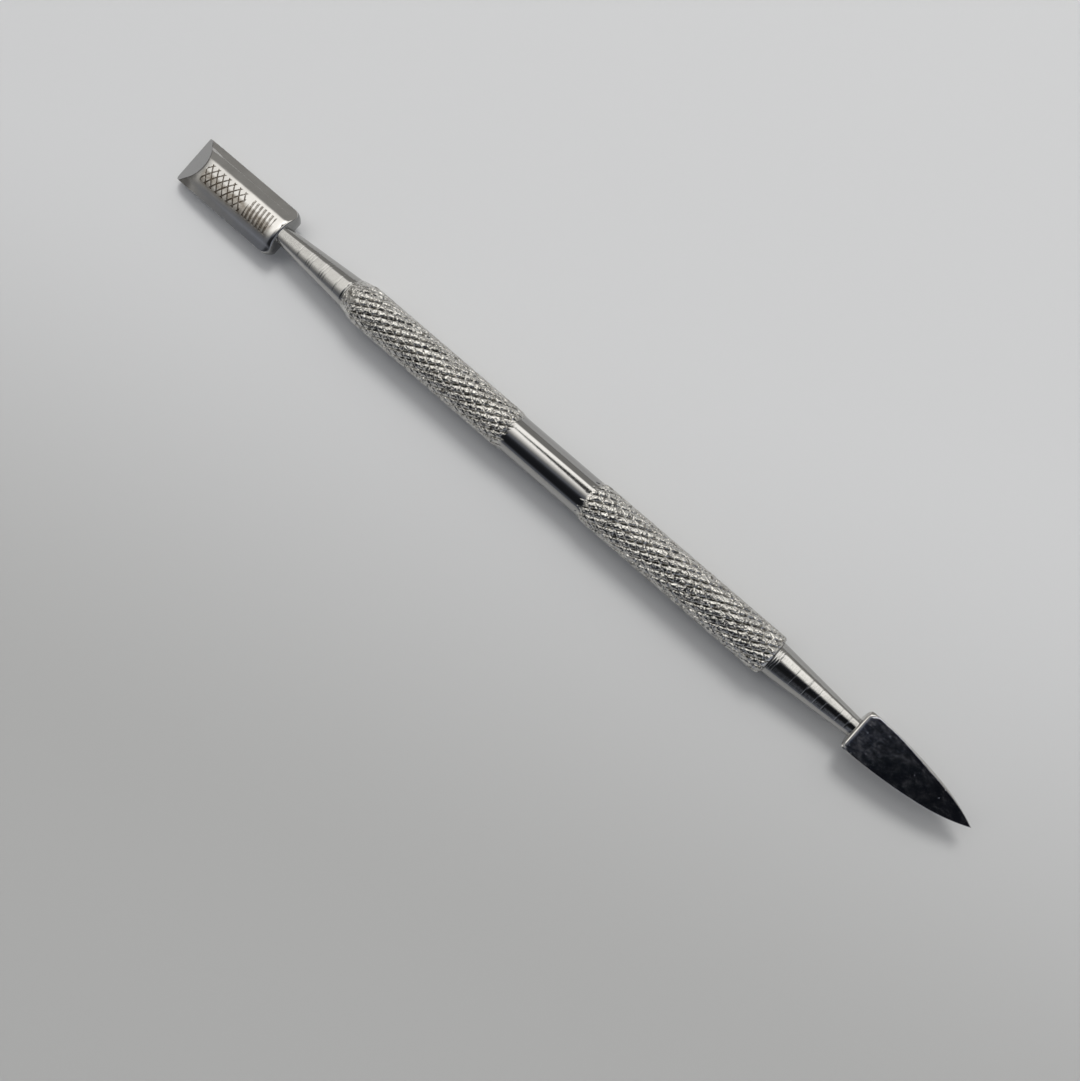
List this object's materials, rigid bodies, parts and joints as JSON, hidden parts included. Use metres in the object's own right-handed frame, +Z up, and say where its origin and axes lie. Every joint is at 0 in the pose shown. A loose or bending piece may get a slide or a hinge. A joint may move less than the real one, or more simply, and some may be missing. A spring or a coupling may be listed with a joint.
{
  "type": "double-ended metal spudger",
  "caption": "Slim double-ended steel hand tool: knurled round handle, a crowned rectangular pusher head at one end and a leaf-shaped spear blade at the other.",
  "frame": {"origin": "under the middle of the tool's length, on the surface that the handle lies on", "axes": "+X along the tool from the pusher head to the spear point, +Y across it, +Z up out of the blade's flat face and the head's crown"},
  "size_m": [0.1299, 0.0072, 0.0057],
  "materials": {
    "knurled_steel": "bright rolled knurl on polished stainless steel, plain mirror band between",
    "polished_steel": "hand-polished stainless steel with fine buffing scratches"
  },
  "bodies": {
    "root": {"handle": "knurled_steel", "pusher_tip": "polished_steel", "spear_tip": "polished_steel"}
  },
  "joints": []
}
